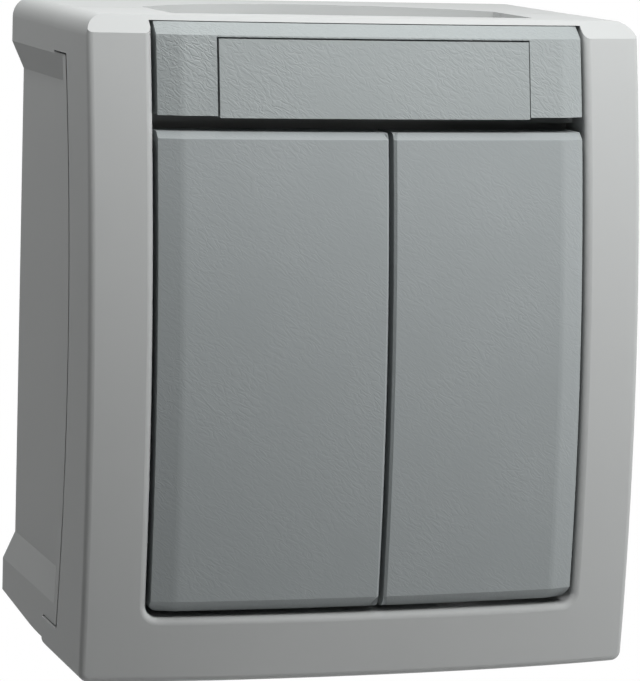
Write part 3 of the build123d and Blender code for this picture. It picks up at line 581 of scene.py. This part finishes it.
@dataclass
class SwitchGang(Assembly):
    """One rocker with the toggle, plunger, spring and contact lever behind it."""

    gang: Gang = Gang.LEFT
    plunger_travel: float = 0.3 * MILLIMETRE
    merge_distance: float = 0.001 * MILLIMETRE
    end_face_angle: float = math.radians(50.0)

    def coil(self) -> bpy.types.Object:
        """Makes the plunger's spring as a merged, smoothly shaded copy of its CAD node.

        Returns:
            The spring, in place of the CAD node that it is copied from.
        """
        side = self.gang.value
        solid = f"plunger_spring_{side}"
        coil = bpy.data.objects.new(f"coil_{side}", self.frame["nodes"][solid].data.copy())
        bpy.context.scene.collection.objects.link(coil)
        deselect_all()
        coil.select_set(True)
        bpy.context.view_layer.objects.active = coil
        bpy.ops.mesh.customdata_custom_splitnormals_clear()
        bpy.ops.object.mode_set(mode="EDIT")
        bpy.ops.mesh.select_all(action="SELECT")
        bpy.ops.mesh.remove_doubles(threshold=self.merge_distance)
        bpy.ops.object.mode_set(mode="OBJECT")
        bpy.ops.object.shade_smooth_by_angle(angle=self.end_face_angle)
        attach(coil, f"{side}_rocker")
        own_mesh(coil)
        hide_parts(solid)
        return coil

    def build(self) -> None:
        """Dresses every moving piece of the gang."""
        side = self.gang.value
        self.coat([f"rocker_{side}"], ROCKER_FINISH)
        self.coat([f"toggle_{side}", f"plunger_{side}"], INSULATOR_FINISH)
        self.dress(self.coil(), ZINC_FINISH)
        self.coat([f"contact_lever_{side}"], BRASS_FINISH)
        self.coat([f"moving_contact_{side}"], CONTACT_FINISH)


@dataclass
class Mechanism(Assembly):
    """Fixed pieces of the switch mechanism, its terminals and all screws."""

    insulators: tuple[str, ...] = ("mechanism_base", "bearing_plate")
    strips: tuple[str, ...] = ("common_terminal", "output_terminal_left", "output_terminal_right")
    fixings: tuple[str, ...] = ("terminal_clamps", "terminal_screws", "mechanism_screws", "cover_screws")

    def build(self) -> None:
        """Dresses the base, the strips, the contacts and the screws."""
        self.coat(self.insulators, INSULATOR_FINISH)
        self.coat(self.strips, BRASS_FINISH)
        self.coat(["fixed_contacts"], CONTACT_FINISH)
        self.coat(self.fixings, ZINC_FINISH)


@dataclass(frozen=True)
class Lamp:
    """Soft rectangular lamp that points at the object."""

    name: str
    place: tuple[float, float, float]
    size: tuple[float, float]
    power: float

    def build(self, target: Vector) -> bpy.types.Object:
        """Adds the lamp.

        Args:
            target: Point that the lamp faces.

        Returns:
            The lamp's object.
        """
        light = bpy.data.lights.new(self.name, "AREA")
        light.shape = "RECTANGLE"
        light.size, light.size_y = self.size
        light.energy = self.power
        lamp = bpy.data.objects.new(self.name, light)
        bpy.context.scene.collection.objects.link(lamp)
        lamp.location = self.place
        lamp.rotation_euler = (target - Vector(self.place)).to_track_quat("-Z", "Y").to_euler()
        return lamp


@dataclass(frozen=True)
class Studio:
    """Camera, lamps, floor and surroundings of the picture."""

    pixel_focal: float = 3659.69
    frame_height: int = 681
    sensor: float = 36.0
    yaw: float = math.radians(17.569)
    pitch: float = math.radians(7.912)
    roll: float = math.radians(1.717)
    sideways: float = -0.4115 * MILLIMETRE
    upwards: float = -1.3166 * MILLIMETRE
    distance: float = 437.315 * MILLIMETRE
    nearest: float = 0.01
    aim: tuple[float, float, float] = (0.0, -0.025, 0.0)
    floor_drop: float = 0.10
    floor_size: float = 0.5
    floor_tone: Colour = (0.86, 0.86, 0.86)
    floor_glow: float = 0.7
    fade_start: float = 0.04
    ambient: float = 0.02
    lamps: tuple[Lamp, ...] = (
        Lamp("top lamp", (0.0, -0.10, 0.16), (0.10, 0.10), 0.18),
        Lamp("key lamp", (0.08, -0.20, 0.18), (0.06, 0.06), 0.38),
        Lamp("left lamp", (-0.13, 0.03, 0.22), (0.08, 0.08), 0.28),
        Lamp("right lamp", (0.30, -0.10, 0.01), (0.12, 0.12), 0.43),
        Lamp("back lamp", (0.06, 0.28, 0.0), (0.10, 0.05), 0.42),
    )

    def camera(self) -> bpy.types.Object:
        """Places the camera where the photograph was taken from.

        Returns:
            The camera, already made the scene's own.
        """
        ahead = Vector((
            math.sin(self.yaw) * math.cos(self.pitch),
            math.cos(self.yaw) * math.cos(self.pitch),
            -math.sin(self.pitch),
        ))
        level = Vector((math.cos(self.yaw), -math.sin(self.yaw), 0.0))
        upright = level.cross(ahead)
        right = math.cos(self.roll) * level + math.sin(self.roll) * upright
        up = -math.sin(self.roll) * level + math.cos(self.roll) * upright
        place = Vector(self.aim) + self.sideways * right + self.upwards * up - self.distance * ahead
        data = bpy.data.cameras.new("photo camera")
        data.sensor_fit = "AUTO"
        data.sensor_width = self.sensor
        data.lens = self.pixel_focal / self.frame_height * self.sensor
        data.clip_start = self.nearest
        camera = bpy.data.objects.new("photo camera", data)
        bpy.context.scene.collection.objects.link(camera)
        turn = Matrix((right, up, -ahead)).transposed()
        camera.matrix_world = Matrix.Translation(place) @ turn.to_4x4()
        bpy.context.scene.camera = camera
        return camera

    def backdrop_mask(self, tree: bpy.types.NodeTree) -> bpy.types.Node:
        """Adds a mask that is 1 for the rays that show the background.

        Args:
            tree: Node tree of the floor or the world.

        Returns:
            Node whose first output is the mask.
        """
        path = add_node(tree, "ShaderNodeLightPath", (-700, 300))
        first = add_node(tree, "ShaderNodeMath", (-480, 300), operation="MAXIMUM")
        tree.links.new(path.outputs["Is Camera Ray"], first.inputs[0])
        tree.links.new(path.outputs["Is Glossy Ray"], first.inputs[1])
        both = add_node(tree, "ShaderNodeMath", (-300, 300), operation="MAXIMUM")
        tree.links.new(first.outputs[0], both.inputs[0])
        tree.links.new(path.outputs["Is Transmission Ray"], both.inputs[1])
        return both

    def surroundings(self) -> None:
        """Lights the object evenly from the world, which the camera sees as plain white."""
        world = bpy.data.worlds.new("white studio")
        world.use_nodes = True
        tree = world.node_tree
        tree.nodes.clear()
        out = add_node(tree, "ShaderNodeOutputWorld", (300, 0))
        soft = add_node(tree, "ShaderNodeBackground", (-100, -120))
        soft.inputs["Color"].default_value = WHITE
        soft.inputs["Strength"].default_value = self.ambient
        white = add_node(tree, "ShaderNodeBackground", (-100, 60))
        white.inputs["Color"].default_value = WHITE
        white.inputs["Strength"].default_value = 1.0
        blend = add_node(tree, "ShaderNodeMixShader", (120, 0))
        tree.links.new(self.backdrop_mask(tree).outputs[0], blend.inputs["Fac"])
        tree.links.new(soft.outputs[0], blend.inputs[1])
        tree.links.new(white.outputs[0], blend.inputs[2])
        tree.links.new(blend.outputs[0], out.inputs["Surface"])
        bpy.context.scene.world = world

    def floor(self, low: float) -> bpy.types.Object:
        """Lays a plain pale floor under the object.

        Args:
            low: Height of the object's lowest point.

        Returns:
            The floor, marked as stage.
        """
        deselect_all()
        bpy.ops.mesh.primitive_plane_add(size=self.floor_size, location=(0.0, 0.0, low - self.floor_drop))
        floor = bpy.context.object
        floor.name = "studio_floor"
        material = bpy.data.materials.new("pale floor")
        material.use_nodes = True
        tree = material.node_tree
        tree.nodes.clear()
        out = add_node(tree, "ShaderNodeOutputMaterial", (500, 0))
        paint = add_node(tree, "ShaderNodeBsdfDiffuse", (-100, 120))
        paint.inputs["Color"].default_value = (*self.floor_tone, 1.0)
        glow = add_node(tree, "ShaderNodeEmission", (-100, -80))
        glow.inputs["Strength"].default_value = 1.0
        blend = add_node(tree, "ShaderNodeMixShader", (240, 0))
        place = add_node(tree, "ShaderNodeTexCoord", (-700, 520))
        reach = add_node(tree, "ShaderNodeVectorMath", (-500, 520), operation="LENGTH")
        tree.links.new(place.outputs["Object"], reach.inputs[0])
        fade = add_node(tree, "ShaderNodeMapRange", (-300, 520))
        fade.inputs["From Min"].default_value = self.fade_start
        fade.inputs["From Max"].default_value = self.floor_size / 2
        fade.inputs["To Min"].default_value = self.floor_glow
        tree.links.new(reach.outputs["Value"], fade.inputs["Value"])
        share = add_node(tree, "ShaderNodeMath", (-100, 300), operation="MULTIPLY")
        tree.links.new(fade.outputs["Result"], share.inputs[1])
        tree.links.new(self.backdrop_mask(tree).outputs[0], share.inputs[0])
        tree.links.new(share.outputs[0], blend.inputs["Fac"])
        tree.links.new(paint.outputs[0], blend.inputs[1])
        tree.links.new(glow.outputs[0], blend.inputs[2])
        tree.links.new(blend.outputs[0], out.inputs["Surface"])
        floor.data.materials.append(material)
        floor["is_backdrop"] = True
        return floor

    def build(self, low: float) -> None:
        """Sets up the camera, the light and the floor.

        Args:
            low: Height of the object's lowest point.
        """
        self.camera()
        for lamp in self.lamps:
            lamp.build(Vector(self.aim))
        self.surroundings()
        self.floor(low)
        bpy.context.scene.view_settings.view_transform = "Standard"


def main() -> None:
    """Loads the frame, dresses each sub-assembly and sets up the studio."""
    logging.basicConfig(level=logging.INFO, format="%(name)s: %(message)s")
    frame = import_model()
    deselect_all()
    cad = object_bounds()
    shared = {"frame": frame, "groups": ReliefGroups().build(), "made": {}}
    Housing(**shared).build()
    LabelField(**shared).build()
    for gang in Gang:
        SwitchGang(**shared, gang=gang).build()
    Mechanism(**shared).build()
    Studio().build(low=cad[0].z)


if __name__ == "__main__":
    main()
